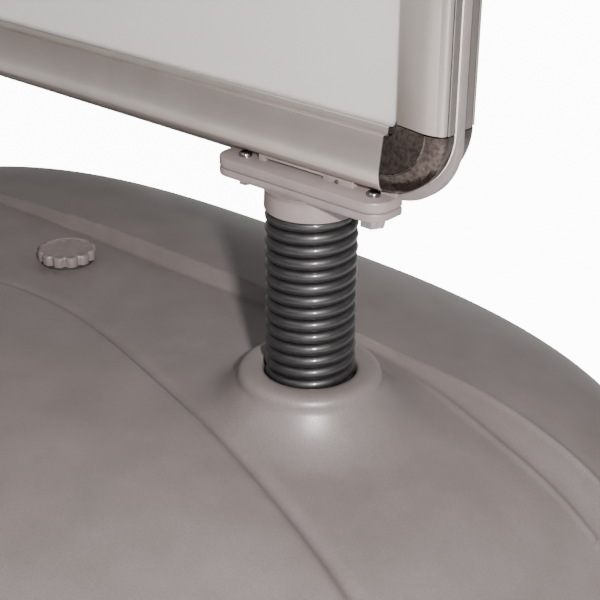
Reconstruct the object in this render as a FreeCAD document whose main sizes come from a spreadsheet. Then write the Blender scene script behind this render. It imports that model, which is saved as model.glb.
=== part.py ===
import FreeCAD, Part
import math
import os
import re

# Pavement poster sign: a double-sided snap poster frame held by two coil springs in the moulded
# bosses of a hollow, water-filled base. X runs along the sign, its front face looks along -Y and
# +Z is up. The origin is the middle of the footprint, on the ground. Millimetres and degrees.

V = FreeCAD.Vector

SIZES = {
    # base
    "base_half_x": (430, "half length of the base at the ground"),
    "base_half_y": (280, "half depth of the base at the ground"),
    "crown_z": (145, "top of the base's crown"),
    "wall": (4, "wall of the moulded base"),
    "deck_drop": (10.5, "depth of the deck channel below the crown"),
    "deck_rear_y": (90, "rear wall of the deck channel"),
    "boss_x": (218, "spring axis, each side of the middle"),
    "boss_top_z": (165, "mouth of a spring boss"),
    "boss_rim_radius": (45, "outside of the boss rim"),
    "boss_foot_radius": (84, "where the boss flare meets the deck"),
    "boss_foot_z": (125, "bottom of the boss flare, inside the deck"),
    "socket_radius": (28.6, "bore of a boss"),
    "socket_floor_z": (116, "floor of the bore"),
    "web": (10, "web between the bore and the bolt recess"),
    "recess_radius": (18, "bolt recess in the underside"),
    "filler_x": (-68, "filler neck axis"),
    "filler_y": (47, "filler neck axis"),
    "neck_bore": (17, "filler neck bore radius"),
    "neck_bottom_z": (112, "lower end of the filler neck"),
    "seat_z": (134.6, "flat seat around the filler neck"),
    "seal_height": (2, "filler seal thickness"),
    "cap_radius": (22.5, "filler cap over its lobes"),
    "cap_height": (8, "filler cap above the seal"),
    # wheels
    "wheel_x": (-368, "wheel axis"),
    "wheel_y": (150, "middle of a wheel, each side"),
    "wheel_z": (43, "wheel axis above the ground"),
    "wheel_radius": (39, "wheel radius"),
    "wheel_width": (24, "wheel width"),
    "pin_radius": (5, "wheel pin radius"),
    # springs and their ends
    "spring_radius": (24, "spring radius at the wire's middle"),
    "wire_radius": (3.9, "spring wire radius"),
    "spring_pitch": (8, "one turn of the spring"),
    "spring_top_z": (270.3, "top of the spring"),
    "plug_radius": (19.6, "plugs inside the spring"),
    "plug_top_z": (150, "top of the lower plug"),
    "bolt_radius": (6, "base bolt shank"),
    "collar_radius": (28.5, "collar above the spring"),
    "flange_z": (284, "underside of the lower clamp flange"),
    "clamp_z": (289, "joint between the two clamp plates"),
    "clamp_top_z": (295.5, "top of the upper clamp plate"),
    "clamp_length": (124.5, "clamp plates, along the sign"),
    "clamp_width": (50, "clamp plates, across the sign"),
    "clamp_corner": (12, "clamp plates, corner radius"),
    "clamp_shift": (4.75, "clamp plates' middle, outward of the spring axis"),
    "screw_near": (41, "inner clamp screws, inward of the spring axis"),
    "screw_far": (55, "outer front clamp screw, outward of the spring axis"),
    "screw_rear": (46.5, "outer rear clamp screw, outward of the spring axis"),
    "notch_x": (55, "cut-back rear corner of the clamp plates, outward of the spring axis"),
    "nut_height": (6, "clamp nuts"),
    "screw_y": (12.5, "clamp screws, each side of the sign's middle plane"),
    "screw_radius": (2, "clamp screw shank"),
    "head_radius": (4, "clamp screw head"),
    "spine_half": (7.2, "half width of the saddle's spine"),
    "block_half": (12.5, "half width of the saddle's block"),
    "saddle_height": (3.7, "saddle above the clamp plate"),
    # poster frame
    "frame_half_x": (319, "half width over the snap profiles"),
    "frame_bottom_z": (299.5, "lower outer edge of the snap profiles"),
    "frame_height": (885, "height over the snap profiles"),
    "corner_radius": (40, "outer radius of a corner piece"),
    "hoop_proud": (1, "hoop beyond the snap profiles at the sides and the top"),
    "hoop_drop": (7, "hoop below the snap profiles, down in the clamps"),
    "hoop_half": (3.3, "half width of the hoop"),
    "wall_foot": (4.8, "foot of the profiles' outer walls, out from the middle plane"),
    "sheet_x": (594, "poster width"),
    "sheet_z": (841, "poster height"),
    "sheet_depth": (6.2, "back of the poster from the middle plane"),
    "poster_thick": (0.4, "poster thickness"),
    "cover_thick": (0.8, "clear cover sheet thickness"),
    "end_gap": (0.4, "gap between a flap and a corner piece"),
    "hinge_in": (3.2, "flap hinge axis, in from the outer edge"),
    "hinge_out": (12.3, "flap hinge axis, out from the middle plane"),
    "bead_radius": (1.2, "hinge bead on the rail"),
    "hinge_play": (0.08, "radial play of the hinge"),
    "curl_radius": (3.0, "outside of the flap's hinge curl"),
}

doc = FreeCAD.newDocument("pavement_sign")
sheet = doc.addObject("Spreadsheet::Sheet", "Sizes")
for row, (alias, (value, meaning)) in enumerate(SIZES.items(), 1):
    sheet.set(f"A{row}", meaning)
    sheet.set(f"B{row}", str(value))
    sheet.setAlias(f"B{row}", alias)
doc.recompute()


class Values:
    """The sheet's numbers, for outlines that are worked out point by point."""


S = Values()
for alias in SIZES:
    setattr(S, alias, float(sheet.get(alias)))

SUBPARTS = []


def bind(obj, prop, formula):
    """Tie a property to a formula in the sheet's aliases."""
    words = re.compile(r"[a-z]+(?:_[a-z]+)*")
    obj.setExpression(prop, words.sub(
        lambda word: f"Sizes.{word.group()}" if word.group() in SIZES else word.group(), formula))


def bind_place(obj, x, y, z):
    for axis, formula in zip("xyz", (x, y, z)):
        bind(obj, f"Placement.Base.{axis}", formula)


def keep(obj, node):
    """Mark an object as a sub-part: its Label names its file."""
    obj.Label = node
    SUBPARTS.append(obj)
    return obj


def box(x, y, z):
    """A box from three (low, high) pairs of formulas."""
    obj = doc.addObject("Part::Box", "Block")
    for (low, high), side in zip((x, y, z), ("Length", "Width", "Height")):
        bind(obj, side, f"({high}) - ({low})")
    bind_place(obj, x[0], y[0], z[0])
    return obj


TURNS = {"x": FreeCAD.Rotation(V(0, 1, 0), 90), "y": FreeCAD.Rotation(V(1, 0, 0), -90),
         "z": FreeCAD.Rotation()}


def cylinder(radius, low, high, at, along="z"):
    """A cylinder from low to high along one axis; at gives the other two coordinates."""
    obj = doc.addObject("Part::Cylinder", "Round")
    obj.Placement = FreeCAD.Placement(V(), TURNS[along])
    bind(obj, "Radius", radius)
    bind(obj, "Height", f"({high}) - ({low})")
    places = list(at)
    places.insert("xyz".index(along), low)
    bind_place(obj, *places)
    return obj


def hexagon(across_flats, low, high, at):
    obj = doc.addObject("Part::Prism", "Hexagon")
    obj.Polygon = 6
    bind(obj, "Circumradius", f"({across_flats}) / 1.7320508")
    bind(obj, "Height", f"({high}) - ({low})")
    bind_place(obj, at[0], at[1], low)
    return obj


def fuse(*shapes):
    obj = doc.addObject("Part::MultiFuse", "Joined")
    obj.Shapes = list(shapes)
    return obj


def cut(base, *tools):
    obj = doc.addObject("Part::Cut", "Pierced")
    obj.Base = base
    obj.Tool = tools[0] if len(tools) == 1 else fuse(*tools)
    return obj


def group(node, solids):
    """Identical pieces that share one node as separate solids."""
    obj = doc.addObject("Part::Compound", "Group")
    obj.Links = solids
    return keep(obj, node)


# ------------------------------------------------------------------ sketches and bodies

def new_sketch(body, plane, geometry):
    sketch = body.newObject("Sketcher::SketchObject", "Outline")
    support = next(f for f in body.Origin.OriginFeatures if f.Role == plane)
    sketch.AttachmentSupport = [(support, "")]
    sketch.MapMode = "FlatFace"
    sketch.addGeometry(geometry, False)
    return sketch


def lines(points, closed=True):
    ends = points[1:] + points[:1] if closed else points[1:]
    return [Part.LineSegment(V(*a, 0), V(*b, 0)) for a, b in zip(points, ends)]


def arc(centre, radius, start, end):
    """Counter-clockwise arc between two angles in degrees."""
    circle = Part.Circle(V(*centre, 0), V(0, 0, 1), radius)
    return Part.ArcOfCircle(circle, math.radians(start), math.radians(end))


def polar(centre, radius, angle):
    turn = math.radians(angle)
    return centre[0] + radius * math.cos(turn), centre[1] + radius * math.sin(turn)


def rounded_rectangle(half_x, half_y, radius, middle=(0, 0)):
    cx, cy = middle
    inner_x, inner_y = half_x - radius, half_y - radius
    outline = []
    for sx, sy, start in ((1, 1, 0), (-1, 1, 90), (-1, -1, 180), (1, -1, 270)):
        centre = (cx + sx * inner_x, cy + sy * inner_y)
        outline.append(arc(centre, radius, start, start + 90))
    for low, high in (((-1, -1), (1, -1)), ((1, 1), (-1, 1))):
        outline += lines([(cx + low[0] * inner_x, cy + low[1] * half_y),
                          (cx + high[0] * inner_x, cy + high[1] * half_y)], closed=False)
    for low, high in (((1, -1), (1, 1)), ((-1, 1), (-1, -1))):
        outline += lines([(cx + low[0] * half_x, cy + low[1] * inner_y),
                          (cx + high[0] * half_x, cy + high[1] * inner_y)], closed=False)
    return outline


def padded(plane, geometry, length):
    """A body with one pad; its length is a formula."""
    body = doc.addObject("PartDesign::Body", "Body")
    sketch = new_sketch(body, plane, geometry)
    pad = body.newObject("PartDesign::Pad", "Pad")
    pad.Profile = sketch
    bind(pad, "Length", length)
    sketch.Visibility = False
    return body


def turned(geometry, angle):
    """A body revolved about the sketch's vertical axis."""
    body = doc.addObject("PartDesign::Body", "Body")
    sketch = new_sketch(body, "XZ_Plane" if angle == 360 else "XY_Plane", geometry)
    turn = body.newObject("PartDesign::Revolution", "Turn")
    turn.Profile = sketch
    turn.ReferenceAxis = (sketch, ["V_Axis"])
    turn.Angle = angle
    return body


# ------------------------------------------------------------------ base

OUTLINE_POWER = 3        # the base's plan is a superellipse
CROWN_POWER = 4          # the crown falls slowly, then rolls over into the skirt
OUTLINE_POINTS = 24
FOOT_HEIGHT = 8          # the skirt turns in a little over this height
RINGS = (0.985, 1.0, 0.992, 0.965, 0.92, 0.85, 0.75, 0.62, 0.48, 0.32)


def superellipse(half_x, half_y, z):
    """Closed smooth outline at one height."""
    points = []
    for step in range(OUTLINE_POINTS):
        turn = step * 2 * math.pi / OUTLINE_POINTS
        c, s = abs(math.cos(turn) / half_x), abs(math.sin(turn) / half_y)
        radius = (c ** OUTLINE_POWER + s ** OUTLINE_POWER) ** (-1 / OUTLINE_POWER)
        points.append(V(radius * math.cos(turn), radius * math.sin(turn), z))
    curve = Part.BSplineCurve()
    curve.interpolate(Points=points, PeriodicFlag=True, Parameters=list(range(OUTLINE_POINTS + 1)))
    return Part.Wire(curve.toShape())


def dome(inset, drop):
    """The base's outer form, smaller all round by inset and lowered by drop."""
    rings = []
    for count, ring in enumerate(RINGS):
        if count == 0:
            z = inset
        else:
            fall = (1 - ring ** CROWN_POWER) ** (1 / 3)
            z = max(FOOT_HEIGHT, inset + 1) + (S.crown_z - FOOT_HEIGHT) * fall - inset * fall - drop * fall
        obj = doc.addObject("Part::Feature", "Ring")
        obj.Shape = superellipse(S.base_half_x * ring - inset, S.base_half_y * ring - inset, z)
        rings.append(obj)
    loft = doc.addObject("Part::Loft", "Dome")
    loft.Sections = rings
    loft.Solid = True
    loft.Ruled = True
    return loft


def channel(grow):
    """Plan of the deck channel: straight rear wall, and a front edge bowed towards the rear."""
    far = S.base_half_x + 40
    rear = S.deck_rear_y + grow
    front = [(x, deck_front(x) - grow) for x in (-far, -far / 2, -50, far / 2, far)]
    curve = Part.BSplineCurve()
    curve.interpolate([V(x, y, 0) for x, y in front])
    wall = lines([front[-1], (far, rear), (-far, rear), front[0]], closed=False)
    return padded("XY_Plane", [curve] + wall, "crown_z + 20")


def deck_front(x):
    return -5 - 0.00085 * (x + 50) ** 2


def boss(side):
    """Flared boss: a rounded rim, a concave flare and a foot buried in the deck."""
    rim, foot = S.boss_rim_radius, S.boss_foot_radius
    top, low = S.boss_top_z, S.boss_foot_z
    rim_round = 7                                   # rounding of the rim's outer edge
    toe, waist = (foot, low + 6), (rim + 7.5, low + 14)
    neck = (rim, top - rim_round - 3)
    geometry = lines([(0, low), (foot, low), toe], closed=False)
    geometry.append(Part.Arc(V(*toe, 0), V(*waist, 0), V(*neck, 0)))
    geometry += lines([neck, (rim, top - rim_round)], closed=False)
    geometry.append(arc((rim - rim_round, top - rim_round), rim_round, 0, 90))
    geometry += lines([(rim - rim_round, top), (0, top), (0, low)], closed=False)
    body = turned(geometry, 360)
    bind_place(body, f"{side} * boss_x", "0", "0")
    return body


def wheel_bay(side, wall):
    """Open bay for one wheel in the left end of the base, larger all round by a wall."""
    reach = f"wheel_radius + 4 + {wall}"
    half = f"wheel_width / 2 + 2 + {wall} * 2.2"
    return box(("-base_half_x - 40", f"wheel_x + {reach}"),
               (f"{side} * wheel_y - ({half})", f"{side} * wheel_y + {half}"),
               ("-5", f"wheel_z + {reach}"))


def make_base():
    spread = S.wall                     # the sunken crown is wider, so that the deck runs out at the ends
    deck_cut = cut(channel(0), dome(-spread, S.deck_drop + spread))
    shell = cut(dome(0, 0), deck_cut)
    solid = fuse(shell, boss(1), boss(-1),
                 cylinder("cap_radius + 3.5", "neck_bottom_z", "seat_z", ("filler_x", "filler_y")))
    deck_under = cut(channel(S.wall), dome(0, S.deck_drop + S.wall))
    walls = [deck_under]
    for side in (1, -1):
        at = (f"{side} * boss_x", "0")
        walls.append(cylinder("socket_radius + wall", "socket_floor_z - web", "boss_top_z", at))
        walls.append(cylinder("recess_radius + wall", "0", "socket_floor_z", at))
        walls.append(wheel_bay(side, 4))
    walls.append(cylinder("neck_bore + 3", "neck_bottom_z", "boss_top_z", ("filler_x", "filler_y")))
    cavity = cut(dome(S.wall, 0), *walls)
    voids = [cavity]
    for side in (1, -1):
        at = (f"{side} * boss_x", "0")
        voids.append(cylinder("socket_radius", "socket_floor_z", "boss_top_z + 5", at))
        voids.append(cylinder("recess_radius", "-5", "socket_floor_z - web", at))
        voids.append(cylinder("bolt_radius + 0.4", "0", "boss_top_z", at))
        voids.append(wheel_bay(side, 0))
        voids.append(cylinder("pin_radius", f"{side} * wheel_y - wheel_width / 2 - 7",
                              f"{side} * wheel_y + wheel_width / 2 + 7", ("wheel_x", "wheel_z"), "y"))
    voids.append(cylinder("neck_bore", "neck_bottom_z - 30", "boss_top_z + 5", ("filler_x", "filler_y")))
    keep(cut(solid, *voids), "base_tank")


def make_filler():
    at = ("filler_x", "filler_y")
    seal = cut(cylinder("cap_radius - 2", "seat_z", "seat_z + seal_height", at),
               cylinder("neck_bore + 0.2", "seat_z - 1", "seat_z + seal_height + 1", at))
    keep(seal, "filler_seal")
    under, top = "seat_z + seal_height", "seat_z + seal_height + cap_height"
    head = cylinder("cap_radius", under, top, at)
    grooves = []
    lobes = 12
    for lobe in range(lobes):
        turn = lobe * 2 * math.pi / lobes
        place = (f"filler_x + {math.cos(turn):.5f} * (cap_radius + 1.2)",
                 f"filler_y + {math.sin(turn):.5f} * (cap_radius + 1.2)")
        grooves.append(cylinder("3.2", "seat_z", f"{top} + 1", place))
    spigot = cut(cylinder("neck_bore - 0.1", "seat_z - 8", f"{under} + 0.01", at),
                 cylinder("neck_bore - 3", "seat_z - 9", under, at))
    keep(fuse(cut(head, *grooves), spigot), "filler_cap")


def make_wheels():
    pins = []
    for side, name in ((-1, "front"), (1, "rear")):
        middle = f"{side} * wheel_y"
        low, high = f"{middle} - wheel_width / 2", f"{middle} + wheel_width / 2"
        at = ("wheel_x", "wheel_z")
        tread = cylinder("wheel_radius", low, high, at, "y")
        hollows = [cylinder("wheel_radius - 9", f"{low} - 1", f"{low} + 7", at, "y"),
                   cylinder("wheel_radius - 9", f"{high} - 7", f"{high} + 1", at, "y")]
        hub = cylinder("pin_radius + 5", low, high, at, "y")
        bore = cylinder("pin_radius + 0.06", f"{low} - 2", f"{high} + 2", at, "y")
        keep(cut(fuse(cut(tread, *hollows), hub), bore), f"wheel_{name}")
        pins.append(cylinder("pin_radius", f"{low} - 7", f"{high} + 7", at, "y"))
    group("wheel_pins", pins)


# ------------------------------------------------------------------ springs and clamps

def coil_spring(side, node):
    """Close-coiled spring: round wire on a helix, from the boss floor to the clamp collar."""
    low = S.socket_floor_z + S.wire_radius + 0.1
    height = S.spring_top_z - S.wire_radius - low
    path = Part.makeHelix(S.spring_pitch, height, S.spring_radius)
    path.translate(V(0, 0, low))
    wire = Part.Wire(Part.makeCircle(S.wire_radius, V(S.spring_radius, 0, low), V(0, 1, 0)))
    obj = doc.addObject("Part::Feature", "Coil")
    obj.Shape = Part.Wire(path.Edges).makePipeShell([wire], True, True)
    obj.Placement = FreeCAD.Placement(V(side * S.boss_x, 0, 0), FreeCAD.Rotation())
    keep(obj, node)


def make_lower_end(side, name):
    at = (f"{side} * boss_x", "0")
    plug = cylinder("plug_radius", "socket_floor_z", "plug_top_z", at)
    keep(cut(plug, cylinder("bolt_radius + 0.2", "socket_floor_z - 1", "plug_top_z + 1", at)),
         f"spring_plug_{name}")
    underside = "socket_floor_z - web - 2.5"
    bolt = fuse(hexagon("19", f"{underside} - 7.5", underside, at),
                cylinder("bolt_radius", f"{underside} - 0.01", "plug_top_z + 14", at))
    washer = cut(cylinder("13", underside, "socket_floor_z - web", at),
                 cylinder("bolt_radius + 0.3", f"{underside} - 1", "socket_floor_z", at))
    nut = cut(hexagon("19", "plug_top_z", "plug_top_z + 10", at),
              cylinder("bolt_radius + 0.02", "plug_top_z - 1", "plug_top_z + 11", at))
    return bolt, washer, nut


def plate(side, low, high):
    """Oblong plate with round corners, shifted outward of the spring axis."""
    outline = rounded_rectangle(S.clamp_length / 2, S.clamp_width / 2, S.clamp_corner)
    body = padded("XY_Plane", outline, f"{high} - {low}")
    bind_place(body, f"{side} * (boss_x + clamp_shift)", "0", low)
    return body


def inner_screws(side):
    return [(f"{side} * (boss_x - screw_near)", f"{row} * screw_y") for row in (-1, 1)]


def outer_screws(side):
    return [(f"{side} * (boss_x + screw_far)", "-screw_y"), (f"{side} * (boss_x + screw_rear)", "screw_y")]


def make_clamp(side, name):
    at = (f"{side} * boss_x", "0")
    places = inner_screws(side) + outer_screws(side)

    def along(low, high):
        ends = (f"{side} * (boss_x {low})", f"{side} * (boss_x {high})")
        return ends if side > 0 else ends[::-1]

    def notch():
        return box(along("+ notch_x", "+ notch_x + 30"), ("-0.5", "clamp_width"),
                   ("flange_z - 1", "clamp_top_z + 20"))

    def holes(low, high):
        return [cylinder("screw_radius + 0.2", low, high, place) for place in places]

    flange = fuse(plate(side, "flange_z", "clamp_z"),
                  cylinder("collar_radius", "spring_top_z", "flange_z", at),
                  cylinder("plug_radius", "spring_top_z - 32", "spring_top_z", at))
    keep(cut(flange, notch(), *holes("flange_z - 1", "clamp_z + 1")), f"spring_cap_{name}")

    top = ("clamp_top_z - 1", "clamp_top_z + saddle_height")
    spine = box(along("- 57", "+ 66.5"), ("-spine_half", "spine_half"), top)
    block = box(along("- 31", "+ 40"), ("-block_half", "block_half"), top)
    groove = box(along("- 80", "+ 90"), ("-hoop_half - 0.05", "hoop_half + 0.05"),
                 ("frame_bottom_z - hoop_drop", "clamp_top_z + 20"))
    slots = [box(along("- 26", "+ 18"), edge, ("clamp_top_z + 0.4", "clamp_top_z + 2.4"))
             for edge in (("-block_half - 1", "-block_half + 5"), ("block_half - 5", "block_half + 1"))]
    upper = cut(fuse(plate(side, "clamp_z", "clamp_top_z"), spine, block), groove, notch(),
                *slots, *holes("clamp_z - 1", "clamp_top_z + 1"))
    keep(upper, f"clamp_plate_{name}")


def clamp_screw(place):
    """Cross-recess pan head screw, head on the upper plate, tip below the nut."""
    head = cylinder("head_radius", "clamp_top_z", "clamp_top_z + 2.6", place)
    round_top = doc.addObject("Part::Fillet", "Round_top")
    round_top.Base = head
    doc.recompute()
    edge = next(i for i, e in enumerate(head.Shape.Edges, 1)
                if len(e.Vertexes) == 1 and e.CenterOfMass.z > S.clamp_top_z + 1)
    round_top.Edges = [(edge, 1.6, 1.6)]
    x, y = place
    cross = [box((f"{x} - {a}", f"{x} + {a}"), (f"{y} - {b}", f"{y} + {b}"),
                 ("clamp_top_z + 1.2", "clamp_top_z + 4")) for a, b in ((2.3, 0.4), (0.4, 2.3))]
    shank = cylinder("screw_radius", "flange_z - nut_height - 0.4", "clamp_top_z + 0.5", place)
    return fuse(cut(round_top, *cross), shank)


def clamp_nut(across, place):
    return cut(hexagon(across, "flange_z - nut_height", "flange_z", place),
               cylinder("screw_radius + 0.02", "flange_z - 10", "flange_z + 1", place))


def make_stands():
    bolts, washers, nuts, screws, small_nuts, large_nuts, studs = [], [], [], [], [], [], []
    for side, name in ((1, "right"), (-1, "left")):
        coil_spring(side, f"spring_{name}")
        bolt, washer, nut = make_lower_end(side, name)
        bolts.append(bolt)
        washers.append(washer)
        nuts.append(nut)
        make_clamp(side, name)
        screws += [clamp_screw(place) for place in inner_screws(side) + outer_screws(side)]
        small_nuts += [clamp_nut("7", place) for place in inner_screws(side)]
        large_nuts += [clamp_nut("13", place) for place in outer_screws(side)]
        for row in (-1, 1):
            face = f"{row} * block_half"
            low, high = sorted((0.0, row * 1.0))
            studs.append(cylinder("1.2", f"{face} + {low}", f"{face} + {high}",
                                  (f"{side} * (boss_x + 29)", "clamp_top_z + 1.5"), "y"))
    group("base_bolts", bolts)
    group("base_washers", washers)
    group("base_nuts", nuts)
    group("clamp_screws", screws)
    group("clamp_nuts_inner", small_nuts)
    group("clamp_nuts_outer", large_nuts)
    group("saddle_studs", studs)


# ------------------------------------------------------------------ poster frame
# A snap profile's section is drawn with x as the distance in from the frame's outer edge and y
# as the distance out from the sign's middle plane.

HINGE = (S.hinge_in, S.hinge_out)
FACE = [(6.8, 15.8), (11.3, 16.6), (32, 13.2)]                  # outer face, edge to crease to lip
LIP = [(32, 9.4), (36, 8.8), (36, 7.5), (30.7, 7.5), (30.7, 12)]
INNER = [(11.4, 15.2), (7.4, 14.5)]
RAIL_WALL = 1.2


def rail_section():
    """Fixed rail: a base plate, an outer wall and a stem that carries the hinge bead."""
    low, high = S.hoop_half, S.sheet_depth
    stem_side = polar(HINGE, S.bead_radius, 331)
    stem_under = polar(HINGE, S.bead_radius, 299)
    right = [(RAIL_WALL, low), (35, low), (35, high), (5.6, high), (5.6, 10.9), stem_side]
    left = [stem_under, (4.7, 9.95), (4.4, 9.4), (4.4, high), (RAIL_WALL, high), (RAIL_WALL, 9.8),
            (0.35, 10.6), (0, 10.1), (0, S.wall_foot), (RAIL_WALL, S.wall_foot), (RAIL_WALL, low)]
    return (lines(right, closed=False) + [arc(HINGE, S.bead_radius, -29, 299)]
            + lines(left, closed=False))


def flap_section():
    """Snap flap: a curl round the bead, the outer face, and the lip that holds the sheet."""
    outer, bore = S.curl_radius, S.bead_radius + S.hinge_play
    start, knee, inner_end, tip = 200, 112, 40, -25
    path = [polar(HINGE, outer, knee)] + FACE + LIP + INNER + [polar(HINGE, outer, inner_end)]
    return (lines(path, closed=False)
            + [arc(HINGE, outer, tip, inner_end)]
            + lines([polar(HINGE, outer, tip), polar(HINGE, bore, tip)], closed=False)
            + [arc(HINGE, bore, tip, start)]
            + lines([polar(HINGE, bore, start), polar(HINGE, outer, start)], closed=False)
            + [arc(HINGE, outer, knee, start)])


def corner_section():
    """The corner piece has the same face, with its own outer wall."""
    wall_out = [(0, S.wall_foot), (0, 10.2), (0.6, 12.8), (2.2, 14.8)]
    wall_in = [(3.4, 13), (2, 11.8), (1.4, 10), (1.4, S.wall_foot)]
    return [(S.corner_radius - u, depth) for u, depth in wall_out + FACE + LIP + INNER + wall_in]


def axes_place(origin, first, second):
    """Placement that turns a body's own x and y onto two directions."""
    third = first.cross(second)
    matrix = FreeCAD.Matrix(first.x, second.x, third.x, 0, first.y, second.y, third.y, 0,
                            first.z, second.z, third.z, 0, 0, 0, 0, 1)
    place = FreeCAD.Placement(matrix)
    place.Base = origin
    return place


EDGES = {"bottom": V(0, 0, 1), "top": V(0, 0, -1), "right": V(-1, 0, 0), "left": V(1, 0, 0)}
FACES = {"front": V(0, -1, 0), "rear": V(0, 1, 0)}
STRAIGHT_X = S.frame_half_x - S.corner_radius
MIDDLE_Z = S.frame_bottom_z + S.frame_height / 2
STRAIGHT_Z = S.frame_height / 2 - S.corner_radius


def edge_place(edge, face, gap):
    """Where a section starts, so that its pad runs along one edge of the frame."""
    inward, outward = EDGES[edge], FACES[face]
    run = inward.cross(outward)
    half = (STRAIGHT_X if abs(run.x) > 0.5 else STRAIGHT_Z) - gap
    middle = V(0, 0, MIDDLE_Z)
    reach = S.frame_height / 2 if edge in ("bottom", "top") else S.frame_half_x
    return axes_place(middle - inward * reach - run * half, inward, outward)


def edge_length(edge):
    if edge in ("bottom", "top"):
        return "2 * (frame_half_x - corner_radius)"
    return "frame_height - 2 * corner_radius"


def make_profiles(face):
    for edge in EDGES:
        rail = padded("XY_Plane", rail_section(), edge_length(edge))
        rail.Placement = edge_place(edge, face, 0)
        keep(rail, f"rail_{edge}_{face}")
        flap = padded("XY_Plane", flap_section(), f"{edge_length(edge)} - 2 * end_gap")
        flap.Placement = edge_place(edge, face, S.end_gap)
        keep(flap, f"flap_{edge}_{face}")


def make_corners(face):
    outward = FACES[face]
    for level, up in (("lower", -1), ("upper", 1)):
        for hand, side in (("left", -1), ("right", 1)):
            body = turned(lines(corner_section()), 90)
            across, along = V(side, 0, 0), V(0, 0, up)
            first = across if (across.cross(outward) * -1 - along).Length < 0.1 else along
            centre = V(side * STRAIGHT_X, 0, MIDDLE_Z + up * STRAIGHT_Z)
            body.Placement = axes_place(centre, first, outward)
            keep(body, f"corner_{level}_{hand}_{face}")


def make_leaves(face):
    """Spring leaves that hold the flaps open or shut: bent strips on the rails."""
    strip = [(12, 6.3), (19.2, 6.5), (26.8, 11.4), (26.5, 11.9), (19, 7), (12, 6.8)]
    leaves = []
    for edge in EDGES:
        spots = (-170, 170) if edge in ("bottom", "top") else (-260, 0, 260)
        inward, outward = EDGES[edge], FACES[face]
        run = inward.cross(outward)
        for spot in spots:
            leaf = padded("XY_Plane", lines(strip), "40")
            start = edge_place(edge, face, 0)
            half = STRAIGHT_X if abs(run.x) > 0.5 else STRAIGHT_Z
            start.Base = start.Base + run * (half + spot - 20)
            leaf.Placement = start
            leaves.append(leaf)
    group(f"snap_leaves_{face}", leaves)


def make_keys():
    """L-shaped keys that join the rails under the corner pieces."""
    def inside(sign, edge, near, far):
        ends = sorted((far, near), key=float, reverse=sign > 0)
        return tuple(f"{sign} * ({edge} - ({end}))" for end in ends)

    near, far, arm = 13.5, 21, 75
    middle_z = "frame_bottom_z + frame_height / 2"
    keys = []
    for face in (-1, 1):
        depth = inside(face, "sheet_depth", -1.6, -0.1)
        for side in (-1, 1):
            for up in (-1, 1):
                bars = []
                for reach_x, reach_z in ((arm, far), (far, arm)):
                    x = inside(side, "frame_half_x", near, reach_x)
                    z = inside(up, "frame_height / 2", near, reach_z)
                    bars.append(box(x, depth, tuple(f"{middle_z} + {end}" for end in z)))
                keys.append(fuse(*bars))
    group("corner_keys", keys)


def make_board():
    middle_z = "frame_bottom_z + frame_height / 2"
    half_x, half_z, radius = S.frame_half_x, S.frame_height / 2, S.corner_radius
    tall = half_z + (S.hoop_proud + S.hoop_drop) / 2
    outside = padded("XZ_Plane", rounded_rectangle(half_x + S.hoop_proud, tall, radius), "2 * hoop_half")
    bind_place(outside, "0", "hoop_half", f"{middle_z} + (hoop_proud - hoop_drop) / 2")
    inside = padded("XZ_Plane", rounded_rectangle(half_x, half_z, radius), "2 * hoop_half + 2")
    bind_place(inside, "0", "hoop_half + 1", middle_z)
    keep(cut(outside, inside), "edge_hoop")
    panel = padded("XZ_Plane", rounded_rectangle(half_x, half_z, radius), "2 * hoop_half")
    bind_place(panel, "0", "hoop_half", middle_z)
    keep(panel, "core_panel")
    x = ("-sheet_x / 2", "sheet_x / 2")
    z = (f"{middle_z} - sheet_z / 2", f"{middle_z} + sheet_z / 2")
    for face, sign in (("front", -1), ("rear", 1)):
        for node, near, far in (("poster", "sheet_depth", "sheet_depth + poster_thick"),
                                ("cover_sheet", "sheet_depth + poster_thick",
                                 "sheet_depth + poster_thick + cover_thick")):
            ends = (near, far) if sign > 0 else (f"-({far})", f"-({near})")
            keep(box(x, ends, z), f"{node}_{face}")
        make_profiles(face)
        make_corners(face)
        make_leaves(face)
    make_keys()


make_base()
make_filler()
make_wheels()
make_stands()
make_board()
doc.recompute()

for obj in doc.Objects:
    if "Invalid" in obj.State or "Error" in obj.State:
        raise RuntimeError(f"{obj.Name} ({obj.Label}) did not rebuild: {obj.State}")
os.makedirs("parts", exist_ok=True)
for obj in SUBPARTS:
    if obj.Shape.isNull() or not obj.Shape.isValid():
        raise RuntimeError(f"{obj.Label} has no valid shape")
    obj.Shape.exportStep(f"parts/{obj.Label}.step")
    print(f"{obj.Label}: {len(obj.Shape.Solids)} solid(s), {obj.Shape.Volume / 1000:.1f} cm3")
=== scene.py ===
import math

import bmesh
import bpy
import numpy as np
from mathutils import Matrix, Vector


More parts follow.
